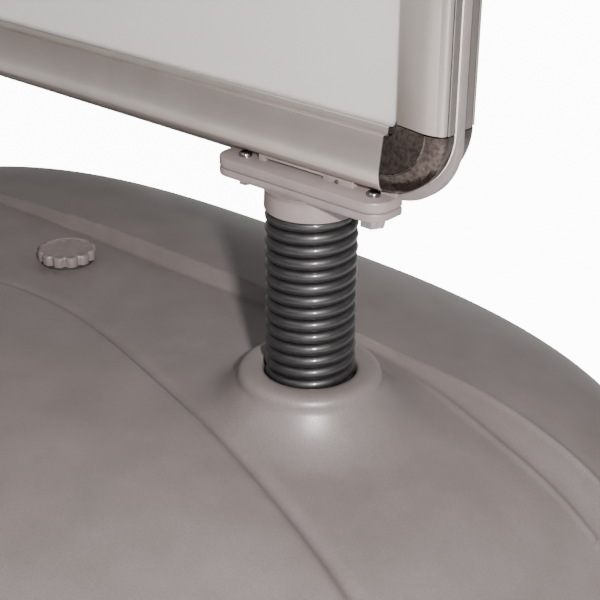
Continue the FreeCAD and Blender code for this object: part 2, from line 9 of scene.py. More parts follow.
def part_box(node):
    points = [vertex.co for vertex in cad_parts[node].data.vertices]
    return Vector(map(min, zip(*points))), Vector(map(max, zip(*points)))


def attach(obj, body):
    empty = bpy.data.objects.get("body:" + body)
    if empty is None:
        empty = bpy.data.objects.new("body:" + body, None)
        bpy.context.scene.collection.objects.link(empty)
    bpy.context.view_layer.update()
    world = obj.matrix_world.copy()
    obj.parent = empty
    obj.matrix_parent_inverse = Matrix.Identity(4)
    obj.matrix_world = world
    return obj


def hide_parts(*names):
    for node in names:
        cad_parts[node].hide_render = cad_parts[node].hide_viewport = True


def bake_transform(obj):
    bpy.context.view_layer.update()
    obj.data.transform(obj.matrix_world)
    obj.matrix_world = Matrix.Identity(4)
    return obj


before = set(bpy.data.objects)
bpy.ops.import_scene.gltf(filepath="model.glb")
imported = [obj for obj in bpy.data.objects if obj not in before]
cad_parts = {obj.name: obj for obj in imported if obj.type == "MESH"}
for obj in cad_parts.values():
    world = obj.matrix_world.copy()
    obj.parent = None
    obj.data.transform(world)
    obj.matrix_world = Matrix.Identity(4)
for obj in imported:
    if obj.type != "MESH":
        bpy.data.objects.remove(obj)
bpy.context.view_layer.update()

MM = 0.001


def middle(node):
    low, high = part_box(node)
    return (low + high) / 2


# ---------------------------------------------------------------- where things are, from the frame
TANK_LOW, TANK_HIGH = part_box("base_tank")
HALF_X = min(TANK_HIGH.x, -TANK_LOW.x) / MM             # half length of the base, mm
HALF_Y = (TANK_HIGH.y - TANK_LOW.y) / 2 / MM            # half depth of the base, mm
MOUTH_Z = TANK_HIGH.z / MM                              # mouth of a boss, mm
BOSS_X = middle("spring_right").x / MM                  # spring axis, mm
SOCKET_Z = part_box("spring_plug_right")[0].z / MM        # floor of a boss, mm
PLATE_CORNER, NOTCH, SADDLE = 12, 55, 3.7               # clamp plates: corner, cut-back end, saddle, mm
NECK = middle("filler_cap") / MM                        # filler neck axis, mm
SEAT_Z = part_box("filler_seal")[0].z / MM                # seat of the filler seal, mm

# ---------------------------------------------------------------- mesh helpers


def make_piece(name, points, faces, body, material, replaces=(), smooth=35):
    """A finished mesh piece from points in mm: it rides on a body and takes a slot's finish."""
    mesh = bpy.data.meshes.new(name)
    mesh.from_pydata([tuple(float(c) * MM for c in p) for p in points], [], faces)
    piece = bpy.data.objects.new(name, mesh)
    bpy.context.scene.collection.objects.link(piece)
    return finish_piece(piece, body, material, replaces, smooth)


def finish_piece(piece, body, material, replaces=(), smooth=35):
    mesh = piece.data
    work = bmesh.new()
    work.from_mesh(mesh)
    bmesh.ops.remove_doubles(work, verts=work.verts, dist=1e-7)
    bmesh.ops.recalc_face_normals(work, faces=work.faces)
    work.to_mesh(mesh)
    work.free()
    mesh.polygons.foreach_set("use_smooth", [True] * len(mesh.polygons))
    mesh.set_sharp_from_angle(angle=math.radians(smooth))
    mesh.materials.clear()
    mesh.materials.append(material)
    if body:
        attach(piece, body)
    if replaces:
        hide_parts(*replaces)
    return piece


def skin(rings, closed_ring=True, caps=True):
    """Points and faces of a skin over rings that all have the same number of points."""
    count = len(rings[0])
    points = [p for ring in rings for p in ring]
    faces = []
    last = count if closed_ring else count - 1
    for row in range(len(rings) - 1):
        for k in range(last):
            a, b = row * count + k, row * count + (k + 1) % count
            faces.append((a, b, b + count, a + count))
    if caps:
        faces.append(tuple(range(count))[::-1])
        faces.append(tuple(range(len(points) - count, len(points))))
    return points, faces


def join(*parts):
    """Several (points, faces) pairs as one."""
    points, faces = [], []
    for more_points, more_faces in parts:
        shift = len(points)
        points += more_points
        faces += [tuple(i + shift for i in face) for face in more_faces]
    return points, faces


def turned(profile, steps, centre=(0, 0)):
    """A round piece: (radius, z) pairs turned about an upright axis."""
    rings = []
    for radius, z in profile:
        rings.append([(centre[0] + radius * math.cos(2 * math.pi * k / steps),
                       centre[1] + radius * math.sin(2 * math.pi * k / steps), z)
                      for k in range(steps)])
    return skin(rings)


def rounded_rectangle(half_x, half_y, radius, steps=8):
    """Outline points, anticlockwise."""
    points = []
    for sx, sy, start in ((1, 1, 0), (-1, 1, 90), (-1, -1, 180), (1, -1, 270)):
        for k in range(steps + 1):
            turn = math.radians(start + 90 * k / steps)
            points.append((sx * (half_x - radius) + radius * math.cos(turn),
                           sy * (half_y - radius) + radius * math.sin(turn)))
    return points


def smooth_step(value):
    value = np.clip(value, 0, 1)
    return value * value * (3 - 2 * value)


def bezier(a, b, c, steps):
    """Points along a quadratic curve, without its first point."""
    out = []
    for k in range(1, steps + 1):
        t = k / steps
        out.append(tuple((1 - t) ** 2 * p + 2 * t * (1 - t) * q + t * t * r for p, q, r in zip(a, b, c)))
    return out


def arc_points(centre, radius, start, end, steps):
    return [(centre[0] + radius * math.cos(math.radians(start + (end - start) * k / steps)),
             centre[1] + radius * math.sin(math.radians(start + (end - start) * k / steps)))
            for k in range(steps + 1)]


# ---------------------------------------------------------------- materials


def linear(hex_colour):
    """sRGB hex to linear RGBA."""
    out = []
    for k in (1, 3, 5):
        value = int(hex_colour[k:k + 2], 16) / 255
        out.append(value / 12.92 if value <= 0.04045 else ((value + 0.055) / 1.055) ** 2.4)
    return (*out, 1.0)


def new_material(name):
    material = bpy.data.materials.new(name)
    material.use_nodes = True
    return material, material.node_tree, material.node_tree.nodes["Principled BSDF"]


def add(tree, kind, settings=None, links=None, inputs=None):
    """A node with its settings, its input values, and links as input: (node, output)."""
    made = tree.nodes.new(kind)
    for key, value in (settings or {}).items():
        setattr(made, key, value)
    for key, value in (inputs or {}).items():
        made.inputs[key].default_value = value
    for key, (source, output) in (links or {}).items():
        tree.links.new(source.outputs[output], made.inputs[key])
    return made


def place(tree):
    """Object coordinates, in metres."""
    return add(tree, "ShaderNodeTexCoord")


def noise(tree, grain_mm, detail=3, stretch=None):
    """Noise whose grain is a real size; stretch squeezes it along the axes."""
    source, output = place(tree), "Object"
    if stretch:
        source = add(tree, "ShaderNodeMapping", links={"Vector": (source, "Object")},
                     inputs={"Scale": stretch})
        output = "Vector"
    return add(tree, "ShaderNodeTexNoise", links={"Vector": (source, output)},
               inputs={"Scale": 1 / (grain_mm * MM), "Detail": detail, "Roughness": 0.55})


def tint(tree, shader, source, low, high, first, second, output="Fac"):
    """Colour that drifts between two hex colours where a pattern goes from low to high."""
    ramp = add(tree, "ShaderNodeValToRGB", links={"Fac": (source, output)})
    ramp.color_ramp.elements[0].position, ramp.color_ramp.elements[1].position = low, high
    ramp.color_ramp.elements[0].color, ramp.color_ramp.elements[1].color = linear(first), linear(second)
    tree.links.new(ramp.outputs["Color"], shader.inputs["Base Color"])
    return ramp


def relief(tree, shader, source, depth_mm, strength=1.0, under=None):
    bump = add(tree, "ShaderNodeBump", links={"Height": (source, "Fac")},
               inputs={"Strength": strength, "Distance": depth_mm * MM})
    if under:
        tree.links.new(under.outputs["Normal"], bump.inputs["Normal"])
    tree.links.new(bump.outputs["Normal"], shader.inputs["Normal"])
    return bump


def gloss(tree, shader, source, low, high):
    """Roughness that follows a pattern."""
    spread = add(tree, "ShaderNodeMapRange", links={"Value": (source, "Fac")},
                 inputs={"From Min": 0.3, "From Max": 0.7, "To Min": low, "To Max": high})
    tree.links.new(spread.outputs["Result"], shader.inputs["Roughness"])


def rotomoulded_polyethylene():
    """Rotomoulded polyethylene: a fine sand-blasted grain from the mould gives a soft sheen."""
    material, tree, shader = new_material("rotomoulded_polyethylene")
    shader.inputs["IOR"].default_value = 1.51
    grain = noise(tree, 0.9, 4)              # the mould's grain, drawn a little coarse so that it shows
    swirl = noise(tree, 38, 3)               # slow colour drift in the pigment
    drift = tint(tree, shader, swirl, 0.3, 0.75, "#5C5654", "#665F5E")
    fleck = add(tree, "ShaderNodeMapRange", links={"Value": (grain, "Fac")},
                inputs={"From Min": 0.3, "From Max": 0.7, "To Min": 0.82, "To Max": 1.12})
    dusted = add(tree, "ShaderNodeVectorMath", {"operation": "MULTIPLY"},
                 {0: (drift, "Color"), 1: (fleck, "Result")})
    tree.links.new(dusted.outputs["Vector"], shader.inputs["Base Color"])
    gloss(tree, shader, grain, 0.34, 0.48)
    waves = relief(tree, shader, noise(tree, 26, 2), 0.25, 0.5)
    relief(tree, shader, grain, 0.05, 0.55, waves)
    return material


def moulded_cap_plastic():
    """Injection-moulded polyethylene cap: like the base, but smoother from a polished mould."""
    material, tree, shader = new_material("moulded_cap_plastic")
    shader.inputs["IOR"].default_value = 1.51
    grain = noise(tree, 0.7, 3)
    tint(tree, shader, noise(tree, 9, 3), 0.3, 0.7, "#625A59", "#6D6462")
    gloss(tree, shader, grain, 0.38, 0.5)
    relief(tree, shader, grain, 0.04, 0.5)
    return material


def moulded_nylon():
    """Light grey glass-filled nylon: flow marks drift through a faintly glossy skin."""
    material, tree, shader = new_material("moulded_nylon")
    shader.inputs["IOR"].default_value = 1.53
    grain = noise(tree, 0.8, 3)
    flow = noise(tree, 7, 4, stretch=(0.35, 1.0, 1.0))
    tint(tree, shader, flow, 0.3, 0.75, "#6A6160", "#756A69")
    gloss(tree, shader, grain, 0.34, 0.48)
    relief(tree, shader, grain, 0.03, 0.5)
    return material


def black_nylon():
    """Black moulded nylon inside the springs: dull and fine-grained."""
    material, tree, shader = new_material("black_nylon")
    grain = noise(tree, 0.8, 3)
    tint(tree, shader, noise(tree, 6, 2), 0.3, 0.7, "#232222", "#2B2A2A")
    gloss(tree, shader, grain, 0.45, 0.6)
    relief(tree, shader, grain, 0.05, 0.6)
    return material


def powder_coated_spring():
    """Spring steel under black powder coat: satin, with a slight orange-peel ripple."""
    material, tree, shader = new_material("powder_coated_spring")
    shader.inputs["IOR"].default_value = 1.5
    shader.inputs["Coat Weight"].default_value = 0.4
    shader.inputs["Coat Roughness"].default_value = 0.13
    peel = noise(tree, 1.6, 2)
    dust = noise(tree, 5, 5)
    tint(tree, shader, dust, 0.35, 0.8, "#0C0B0D", "#171518")
    gloss(tree, shader, peel, 0.42, 0.55)
    relief(tree, shader, peel, 0.05, 0.45)
    return material


def anodised_aluminium():
    """Satin anodised aluminium extrusion: faint die lines run along it and soften the shine."""
    material, tree, shader = new_material("anodised_aluminium")
    shader.inputs["Metallic"].default_value = 0.93
    cloud = noise(tree, 30, 2)
    tint(tree, shader, cloud, 0.3, 0.7, "#B4ABA6", "#BDB4AF")
    grain = noise(tree, 0.5, 2)
    gloss(tree, shader, grain, 0.3, 0.37)
    relief(tree, shader, grain, 0.008, 0.4)
    return material


def mill_aluminium():
    """Mill-finish aluminium of the hidden rails: greyer and duller than the anodised flaps."""
    material, tree, shader = new_material("mill_aluminium")
    shader.inputs["Metallic"].default_value = 1.0
    streaks = noise(tree, 0.6, 3, stretch=(0.2, 1.0, 0.2))
    tint(tree, shader, streaks, 0.3, 0.7, "#8B8481", "#96908C")
    gloss(tree, shader, streaks, 0.38, 0.5)
    relief(tree, shader, streaks, 0.01, 0.4)
    return material


def dark_chrome():
    """Chrome plate on a moulded corner, toned dark: mirror-bright with tiny ripples and marks."""
    material, tree, shader = new_material("dark_chrome")
    shader.inputs["Metallic"].default_value = 1.0
    marks = noise(tree, 2.4, 6)
    tint(tree, shader, marks, 0.3, 0.75, "#38322F", "#645B57")
    gloss(tree, shader, noise(tree, 1.2, 4), 0.1, 0.26)
    relief(tree, shader, noise(tree, 1.6, 4), 0.05, 0.6)
    return material


def zinc_plate():
    """Bright zinc-plated steel fasteners: shiny, with a slight blue-grey bloom."""
    material, tree, shader = new_material("zinc_plate")
    shader.inputs["Metallic"].default_value = 1.0
    bloom = noise(tree, 2, 4)
    tint(tree, shader, bloom, 0.3, 0.8, "#7D7A7A", "#A8A5A4")
    gloss(tree, shader, bloom, 0.16, 0.3)
    relief(tree, shader, noise(tree, 0.6, 2), 0.01, 0.4)
    return material


def extruded_vinyl():
    """Light grey PVC edge strip: extruded, so it is smooth along its length and softly glossy."""
    material, tree, shader = new_material("extruded_vinyl")
    shader.inputs["IOR"].default_value = 1.54
    grain = noise(tree, 1.1, 3)
    tint(tree, shader, noise(tree, 14, 3), 0.3, 0.7, "#655E5D", "#6D6665")
    gloss(tree, shader, grain, 0.3, 0.42)
    relief(tree, shader, grain, 0.02, 0.5)
    return material


def poster_paper():
    """Blank poster stock: warm white, uncoated, with a trace of fibre."""
    material, tree, shader = new_material("poster_paper")
    shader.inputs["IOR"].default_value = 1.45
    fibre = noise(tree, 1.5, 5)
    tint(tree, shader, fibre, 0.3, 0.75, "#F3F0EE", "#F8F6F5")
    gloss(tree, shader, fibre, 0.55, 0.7)
    relief(tree, shader, noise(tree, 60, 2), 0.3, 0.25)
    return material


def clear_vinyl():
    """Clear PVC cover sheet: it only adds a soft gloss over the poster."""
    material, tree, shader = new_material("clear_vinyl")
    shader.inputs["IOR"].default_value = 1.5
    shader.inputs["Alpha"].default_value = 0.12
    ripple = noise(tree, 45, 2)
    tint(tree, shader, ripple, 0.3, 0.7, "#F2F0EE", "#F8F6F4")
    gloss(tree, shader, ripple, 0.2, 0.3)
    relief(tree, shader, ripple, 0.4, 0.3)
    return material


def foamed_board():
    """Foamed PVC board in the middle of the sign: matt, with a fine closed-cell skin."""
    material, tree, shader = new_material("foamed_board")
    cells = noise(tree, 1.2, 3)
    tint(tree, shader, cells, 0.3, 0.75, "#C9C6C1", "#D3D0CB")
    gloss(tree, shader, cells, 0.5, 0.65)
    relief(tree, shader, cells, 0.05, 0.4)
    return material


def nitrile_rubber():
    """Black rubber seal and wheel treads: dull, with a light dusting."""
    material, tree, shader = new_material("nitrile_rubber")
    dust = noise(tree, 3, 5)
    tint(tree, shader, dust, 0.35, 0.8, "#1B1B1B", "#2C2B2A")
    gloss(tree, shader, dust, 0.6, 0.8)
    relief(tree, shader, noise(tree, 0.7, 3), 0.06, 0.6)
    return material


def blued_spring_steel():
    """Rolled spring steel leaves: dark, streaked along the rolling direction."""
    material, tree, shader = new_material("blued_spring_steel")
    shader.inputs["Metallic"].default_value = 1.0
    streaks = noise(tree, 0.8, 3, stretch=(0.25, 1.0, 0.25))
    tint(tree, shader, streaks, 0.3, 0.7, "#6E7074", "#85868A")
    gloss(tree, shader, streaks, 0.28, 0.4)
    relief(tree, shader, streaks, 0.01, 0.4)
    return material


POLYETHYLENE = rotomoulded_polyethylene()
CAP_PLASTIC = moulded_cap_plastic()
NYLON = moulded_nylon()
BLACK_NYLON = black_nylon()
SPRING_COAT = powder_coated_spring()
ANODISED = anodised_aluminium()
MILL = mill_aluminium()
CHROME = dark_chrome()
ZINC = zinc_plate()
VINYL = extruded_vinyl()
PAPER = poster_paper()
CLEAR = clear_vinyl()
FOAM = foamed_board()
RUBBER = nitrile_rubber()
LEAF = blued_spring_steel()

KEPT_FINISH = {"base_bolts": ZINC, "base_nuts": ZINC, "base_washers": ZINC, "clamp_screws": ZINC,
               "clamp_nuts": ZINC, "saddle_studs": ZINC,
               "corner_keys": ZINC, "wheel_pins": ZINC,
               "filler_seal": RUBBER, "rail": MILL, "core_panel": FOAM,
               "poster": PAPER, "cover_sheet": CLEAR, "snap_leaves": LEAF, "spring_plug": BLACK_NYLON}


def finish_kept_nodes():
    """CAD nodes whose shape is right keep it, and get their finish."""
    for name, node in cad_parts.items():
        keys = [key for key in KEPT_FINISH if name.startswith(key)]
        if keys:
            finish = KEPT_FINISH[max(keys, key=len)]
            for k in range(len(node.data.materials)):
                node.data.materials[k] = finish


# ---------------------------------------------------------------- base

PLAN_POWER, CROWN_POWER = 3, 4     # plan and crown curves, as the design has them
CROWN_Z, FOOT_Z = 145, 8           # top of the crown and height of the turned-in foot, mm
GRID_EDGE = 0.93                   # share of the plan that the top grid covers
COLUMNS, ROWS = 420, 280
BOSS_FOOT, BOSS_RIM = 92, 45.5     # radius of a boss's flare at the deck and at its top, mm
BOSS_SEAM, RIM_DROP = 60, 8.5      # rings are drawn inside this radius; flare's top below the mouth, mm
SKIRT_RINGS, BOSS_RINGS = 16, 10   # rows of faces down the skirt, and up a boss's flare
BOSS_STEPS, SEAT_STEPS = 200, 96   # points round a boss and round the filler's seat


def plan_share(x, y):
    """0 in the middle of the base and 1 on its outline."""
    return (np.abs(x / HALF_X) ** PLAN_POWER + np.abs(y / HALF_Y) ** PLAN_POWER) ** (1 / PLAN_POWER)


def base_height(x, y):
    """Height of the base's top skin, with the deck channel sunk into its crown."""
    x, y = np.asarray(x, float), np.asarray(y, float)
    share = plan_share(x, y)
    crown = FOOT_Z + (CROWN_Z - FOOT_Z) * np.clip(1 - share ** CROWN_POWER, 0, 1) ** (1 / 3)
    along = np.abs(x)
    rear_high = np.interp(along, (0, 80, 210, 300, 400), (97, 96, 87, 88, 84))
    rear_low = np.interp(along, (0, 100, 205, 263, 320, 400), (88, 88, 82, 72, 60, 52))
    sunk = np.interp(along, (0, 110, 215, 290, 400), (10.5, 9.5, 4.5, 6, 7.5))
    wall = smooth_step((y - rear_low) / (rear_high - rear_low))
    front = -12 - 23.1 * (np.sqrt(1 + ((x + 20) / 70) ** 2) - 1)
    lip = smooth_step((front + 7 - y) / 14)
    sunk = sunk * (1 - wall) * (1 - 0.75 * lip)
    groove = 3.6 * np.exp(-((y - front) / 5.5) ** 2)
    bead = np.clip((along - 225) / 50, 0, 1)                # rolled edges of the band past a boss
    groove -= bead * (1.7 * np.exp(-((y - rear_high) / 2.8) ** 2)
                      + 1.4 * np.exp(-((y - rear_low) / 2.8) ** 2))
    fade = smooth_step((0.99 - share) / 0.09)
    deck = crown - (sunk + groove) * fade
    beside = np.hypot(along - BOSS_X, y)
    flare = np.clip((BOSS_FOOT - beside) / (BOSS_FOOT - BOSS_RIM), 0, 1) ** 3.4
    return deck + (MOUTH_Z - RIM_DROP - deck) * flare


def base_grid():
    """Columns across the top, then the skirt's rings down to the ground."""
    points, faces = [], []
    reach_x = HALF_X * GRID_EDGE
    for i in range(COLUMNS + 1):
        x = -reach_x * math.cos(math.pi * (i + 0.5) / (COLUMNS + 1))
        reach = HALF_Y * (GRID_EDGE ** PLAN_POWER - abs(x / HALF_X) ** PLAN_POWER) ** (1 / PLAN_POWER)
        y = np.linspace(-reach, reach, ROWS + 1)
        z = base_height(np.full_like(y, x), y)
        points += [(x, b, c) for b, c in zip(y, z)]
    step = ROWS + 1
    for i in range(COLUMNS):
        for j in range(ROWS):
            a = i * step + j
            faces.append((a, a + step, a + step + 1, a + 1))
    rim = [i * step for i in range(COLUMNS + 1)]
    rim += [COLUMNS * step + j for j in range(1, ROWS)]
    rim += [i * step + ROWS for i in range(COLUMNS, -1, -1)]
    rim += [j for j in range(ROWS - 1, 0, -1)]
    edge = np.array([points[i][:2] for i in rim])
    edge_share = plan_share(edge[:, 0], edge[:, 1])
    fall = (1 - GRID_EDGE ** CROWN_POWER) ** (1 / 3)
    previous = rim
    shares = [(1 - (fall * (1 - k / SKIRT_RINGS)) ** 3) ** (1 / CROWN_POWER)
              for k in range(1, SKIRT_RINGS + 1)]
    foot = {0.995: FOOT_Z * 0.35, 0.985: 0}                 # the foot turns in on its way to the ground
    for share in (*shares, *foot):
        xy = edge * (share / edge_share)[:, None]
        z = np.full(len(xy), foot[share]) if share in foot else base_height(xy[:, 0], xy[:, 1])
        ring = list(range(len(points), len(points) + len(xy)))
        points += [(a, b, c) for (a, b), c in zip(xy, z)]
        for k in range(len(ring)):
            n = (k + 1) % len(ring)
            faces.append((previous[k], ring[k], ring[n], previous[n]))
        previous = ring
    faces.append(tuple(previous))
    return points, faces


def boss_profile():
    """Radius and height from the flare to the bore; no height means the skin's own."""
    top = MOUTH_Z
    rows = [(BOSS_SEAM - (BOSS_SEAM - BOSS_RIM) * k / BOSS_RINGS, None) for k in range(BOSS_RINGS + 1)]
    rows += [(45.2, top - 6.2), (44.4, top - 3.6), (42.8, top - 1.6), (40.6, top - 0.5), (38, top),
             (33, top - 0.1), (30.4, top - 0.5), (29.2, top - 1.6), (28.8, top - 4), (28.8, SOCKET_Z),
             (12, SOCKET_Z)]
    return rows


def round_patch(work, centre, rows, steps):
    """A round stretch of the skin, in rings; returns its outer ring of vertices."""
    rings = []
    for radius, z in rows:
        ring = []
        for k in range(steps):
            turn = 2 * math.pi * k / steps
            x, y = centre[0] + radius * math.cos(turn), centre[1] + radius * math.sin(turn)
            level = float(base_height(x, y)) if z is None else z
            ring.append(work.verts.new((x * MM, y * MM, level * MM)))
        rings.append(ring)
    for outer, inner in zip(rings, rings[1:]):
        for k in range(steps):
            n = (k + 1) % steps
            work.faces.new((outer[k], outer[n], inner[n], inner[k]))
    work.faces.new(rings[-1])
    return rings[0]


def stitch(work, centre, rows, steps):
    """Swap the grid inside a circle for a round patch, and fill the gap between them."""
    reach = (rows[0][0] + 1.2) * MM
    inside = [v for v in work.verts if v.co.z > 0.1
              and math.hypot(v.co.x - centre[0] * MM, v.co.y - centre[1] * MM) < reach]
    bmesh.ops.delete(work, geom=inside, context="VERTS")
    loose = [e for e in work.edges if len(e.link_faces) == 1]
    ring = round_patch(work, centre, rows, steps)
    outer = [e for v in ring for e in v.link_edges if len(e.link_faces) == 1]
    bmesh.ops.triangle_fill(work, use_beauty=True, use_dissolve=False, edges=list(set(loose + outer)))


def make_base():
    """Hollow base: crowned top with a sunken deck, two flared bosses and the filler's seat."""
    points, faces = base_grid()
    mesh = bpy.data.meshes.new("base_shell")
    mesh.from_pydata([tuple(float(c) * MM for c in p) for p in points], [], faces)
    work = bmesh.new()
    work.from_mesh(mesh)
    for side in (-1, 1):
        stitch(work, (side * BOSS_X, 0), boss_profile(), BOSS_STEPS)
    seat = [(34, None), (30, None), (27, SEAT_Z), (18, SEAT_Z), (17.2, SEAT_Z - 0.8), (17.2, SEAT_Z - 22),
            (5, SEAT_Z - 22)]
    stitch(work, (NECK.x, NECK.y), seat, SEAT_STEPS)
    bmesh.ops.recalc_face_normals(work, faces=work.faces)
    work.to_mesh(mesh)
    work.free()
    base = bpy.data.objects.new("base_shell", mesh)
    bpy.context.scene.collection.objects.link(base)
    carve_underside(base)
    finish_piece(base, "base", POLYETHYLENE, ["base_tank"], smooth=40)


def carve_underside(base):
    """Wheel bays at the left end, and the recesses that the spring bolts go into."""
    parts = []
    for node in ("wheel_front", "wheel_rear"):
        low, high = (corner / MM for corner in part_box(node))
        wheel = (low + high) / 2
        radius = (high.z - low.z) / 2 + 4
        half = (high.y - low.y) / 2 + 2
        arch = arc_points((wheel.x, wheel.z), radius, 0, 90, 12)
        side = [(wheel.x + radius, -5)] + arch + [(wheel.x - 120, wheel.z + radius), (wheel.x - 120, -5)]
        parts.append(skin([[(x, y, z) for x, z in side] for y in (wheel.y - half, wheel.y + half)]))
    for side in (-1, 1):
        parts.append(turned([(18, -5), (18, SOCKET_Z - 10)], 40, (side * BOSS_X, 0)))
    carve(base, make_cutter(*join(*parts)))


def make_cutter(points, faces):
    """A closed mesh, from points in mm, that is only there to be taken out of a piece."""
    mesh = bpy.data.meshes.new("cutter")
    mesh.from_pydata([tuple(c * MM for c in p) for p in points], [], faces)
    work = bmesh.new()
    work.from_mesh(mesh)
    bmesh.ops.recalc_face_normals(work, faces=work.faces)
    work.to_mesh(mesh)
    work.free()
    cutter = bpy.data.objects.new("cutter", mesh)
    bpy.context.scene.collection.objects.link(cutter)
    return cutter


def carve(piece, cutter):
    """Take the cutter out of the piece, and remove the cutter."""
    modifier = piece.modifiers.new("carve", "BOOLEAN")
    modifier.operation, modifier.solver, modifier.object = "DIFFERENCE", "EXACT", cutter
    bpy.context.view_layer.update()
    evaluated = piece.evaluated_get(bpy.context.evaluated_depsgraph_get())
    mesh = bpy.data.meshes.new_from_object(evaluated)
    piece.modifiers.clear()
    piece.data = mesh
    bpy.data.objects.remove(cutter)


def make_filler_cap():
    """Screw cap with finger lobes, a raised rim and a hollow spigot in the neck."""
    low, high = (corner.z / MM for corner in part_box("filler_cap"))
    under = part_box("filler_seal")[1].z / MM
    steps, lobes, radius = 144, 12, 22.4

    def ring(scale, z, depth):
        out = []
        for k in range(steps):
            turn = 2 * math.pi * k / steps
            notch = depth * (0.5 - 0.5 * math.cos(lobes * turn)) ** 2.2
            r = radius * scale - notch
            out.append((NECK.x + r * math.cos(turn), NECK.y + r * math.sin(turn), z))
        return out

    rings = [ring(0.62, low, 0), ring(0.745, low, 0), ring(0.745, under, 0), ring(0.9, under, 1.0),
             ring(0.985, under + 0.4, 2.4), ring(1.0, under + 1.6, 2.7), ring(1.0, high - 2.2, 2.7),
             ring(0.985, high - 0.9, 2.5), ring(0.94, high - 0.1, 2.0), ring(0.9, high, 1.4),
             ring(0.84, high - 0.15, 0.4), ring(0.8, high - 0.7, 0), ring(0.5, high - 0.5, 0),
             ring(0.1, high - 0.4, 0)]
    points, faces = skin(rings)
    make_piece("filler_cap_lobed", points, faces, "filler_cap", CAP_PLASTIC,
               ["filler_cap"])


def make_wheel(name):
    """Moulded wheel: ribbed tread, dished sides with holes between spokes, and a plain hub."""
    low, high = (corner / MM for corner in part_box(name))
    centre, radius, half = (low + high) / 2, (high.z - low.z) / 2, (high.y - low.y) / 2
    bore, steps = (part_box("wheel_pins")[1].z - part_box("wheel_pins")[0].z) / 2 / MM + 0.25, 96
    tread = []
    for k in range(7):                                      # three grooves run round the tread
        tread.append((radius - (1.2 if k % 2 else 0), (half - 2.6) * (k / 3 - 1)))
    outline = [(bore, -half), (bore + 4, -half), (bore + 5, -half + 1), (bore + 6, -half + 4),
               (radius - 9, -half + 4), (radius - 7, -half + 0.6), (radius - 2.5, -half), *tread,
               (radius - 2.5, half), (radius - 7, half - 0.6), (radius - 9, half - 4),
               (bore + 6, half - 4), (bore + 5, half - 1), (bore + 4, half), (bore, half)]
    rings = [[(centre.x + r * math.cos(turn), centre.y + y, centre.z + r * math.sin(turn))
              for r, y in outline] for turn in (2 * math.pi * k / steps for k in range(steps))]
    points, faces = skin(rings + rings[:1], caps=False)
    wheel = make_piece(f"{name}_moulded", points, faces, name, RUBBER, [name], smooth=30)
    holes = []
    for k in range(6):
        turn = math.pi / 3 * k
        hole = turned([(3.2, -half - 1), (3.2, half + 1)], 24)
        reach = (bore + radius - 3) / 2
        out_x, out_z = centre.x + reach * math.cos(turn), centre.z + reach * math.sin(turn)
        holes.append(([(out_x + x, centre.y + z, out_z + y) for x, y, z in hole[0]], hole[1]))
    carve(wheel, make_cutter(*join(*holes)))
    wheel.data.set_sharp_from_angle(angle=math.radians(30))


# ---------------------------------------------------------------- springs and clamps


def make_spring(name):
    """Close-coiled spring with ground ends, drawn straight between the base and the sign."""
    low, high = (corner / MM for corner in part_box(name))
    axis_x, wire, pitch = (low.x + high.x) / 2, 3.93, 8
    radius = (high.x - low.x) / 2 - wire
    start, end = low.z + 1, high.z - 1
    around, per_turn = 14, 60
    count = int((end - start) / pitch * per_turn)
    rings = []
    for k in range(count + 1):
        turn = 2 * math.pi * k / per_turn
        z = start + pitch * k / per_turn
        out = Vector((math.cos(turn), math.sin(turn), 0))
        ring = []
        for a in (2 * math.pi * j / around for j in range(around)):
            point = Vector((axis_x, 0, z)) + out * (radius + wire * math.cos(a))
            point.z = min(max(point.z + wire * math.sin(a), low.z + 0.05), high.z - 0.05)
            ring.append(tuple(point))
        rings.append(ring)
    points, faces = skin(rings)
    coil = make_piece(f"{name}_coil", points, faces, None, SPRING_COAT, [name], smooth=60)
    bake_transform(coil)


def plate_outline(side, inset):
    """Clamp plate seen from above, with its rear outer corner cut back."""
    low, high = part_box("clamp_plate_right")
    near, far, half = low.x / MM + inset, high.x / MM - inset, (high.y - low.y) / 2 / MM - inset
    corner = PLATE_CORNER - inset
    notch = BOSS_X + NOTCH - inset
    points = []
    for x, y, start in ((notch - 4, half - 4, 0), (near + corner, half - corner, 90),
                        (near + corner, corner - half, 180), (far - corner, corner - half, 270)):
        bend = 4 if start == 0 else corner
        points += arc_points((x, y), bend, start, start + 90, 8)
    points += [(far, -2.5 - inset), (far - 0.7, -1.2 - inset), (far - 2.5, -0.5 - inset),
               (notch, -0.5 - inset)]
    return [(side * x, y) for x, y in points]


def plate_slab(side, low, high, edge):
    rings = []
    for inset, z in ((edge, low), (edge * 0.3, low + edge * 0.3), (0, low + edge),
                     (0, high - edge), (edge * 0.3, high - edge * 0.3), (edge, high)):
        rings.append([(x, y, z) for x, y in plate_outline(side, inset)])
    return skin(rings)


def bar(low, high, edge=0.5):
    """Square bar with softened top edges, from one corner to the other."""
    centre = ((low[0] + high[0]) / 2, (low[1] + high[1]) / 2)
    half_x, half_y = (high[0] - low[0]) / 2, (high[1] - low[1]) / 2
    rings = []
    for inset, z in ((0, low[2]), (0, high[2] - edge), (edge * 0.3, high[2] - edge * 0.3), (edge, high[2])):
        outline = rounded_rectangle(half_x - inset, half_y - inset, 0.6, 3)
        rings.append([(centre[0] + x, centre[1] + y, z) for x, y in outline])
    return skin(rings)


